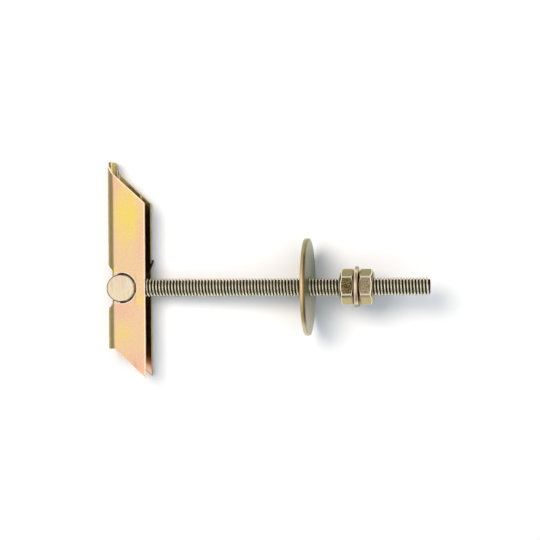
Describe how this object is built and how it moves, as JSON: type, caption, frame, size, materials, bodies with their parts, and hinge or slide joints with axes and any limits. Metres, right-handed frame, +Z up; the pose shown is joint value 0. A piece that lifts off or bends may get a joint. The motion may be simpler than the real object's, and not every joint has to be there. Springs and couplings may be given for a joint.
{
  "type": "spring toggle bolt",
  "caption": "Spring toggle bolt: a folded channel wing pivots on a barrel nut at the end of a threaded rod, with a large washer, nuts and a small washer to clamp a fixture to a hollow panel.",
  "frame": {"origin": "middle of the bolt's outline on the surface that it lies on", "axes": "+X along the rod from the wing to the nuts, seen from above, +Y along the wing's long arm, +Z up; the rod rises 8 degrees towards +X because the large washer props it up"},
  "size_m": [0.0698, 0.047, 0.0209],
  "materials": {
    "wing_sheet": "yellow passivated zinc on folded sheet, faintly iridescent",
    "barrel_steel": "pale yellow zinc, faced end with fine straight lines",
    "spring_wire": "dark drawn spring wire",
    "rod_steel": "olive yellow zinc on rolled thread",
    "large_washer_zinc": "olive yellow zinc with a bluish bloom, gold rim",
    "nut_zinc": "olive gold zinc, rough faces and bright edges",
    "small_washer_zinc": "pink gold zinc rim"
  },
  "bodies": {
    "rod": {"threaded_rod": "rod_steel", "barrel_nut": "barrel_steel", "return_spring": "spring_wire"},
    "wing": {"toggle_wing": "wing_sheet"},
    "large_washer": {"large_washer": "large_washer_zinc"},
    "inner_nut": {"inner_nut": "nut_zinc"},
    "small_washer": {"small_washer": "small_washer_zinc"},
    "outer_nut": {"outer_nut": "nut_zinc"}
  },
  "joints": [
    {"name": "wing_pivot", "type": "hinge", "parent": "rod", "child": "wing", "pos_m": [-0.03135, -0.00395, 0.0049], "axis": [-0.1379, 0, 0.9905], "range_deg": [-90, 90], "stiffness_Nm_per_rad": 0.0115, "deforming": ["return_spring"]},
    {"name": "large_washer_slide", "type": "slide", "parent": "rod", "child": "large_washer", "axis": [0.9905, 0, 0.1379], "range_m": [-0.012, 0]},
    {"name": "inner_nut_travel", "type": "slide", "parent": "rod", "child": "inner_nut", "axis": [0.9905, 0, 0.1379], "range_m": [-0.00625, 0]},
    {"name": "small_washer_slide", "type": "slide", "parent": "rod", "child": "small_washer", "axis": [0.9905, 0, 0.1379], "range_m": [0, 0.0119]},
    {"name": "outer_nut_turn", "type": "hinge", "parent": "small_washer", "child": "outer_nut", "pos_m": [0.02119, -0.00395, 0.01221], "axis": [0.9905, 0, 0.1379], "range_deg": [0, 6122]}
  ],
  "couplings": [
    {"joint": "outer_nut_turn", "follows": "small_washer_slide", "rad_per_m": 8976}
  ]
}
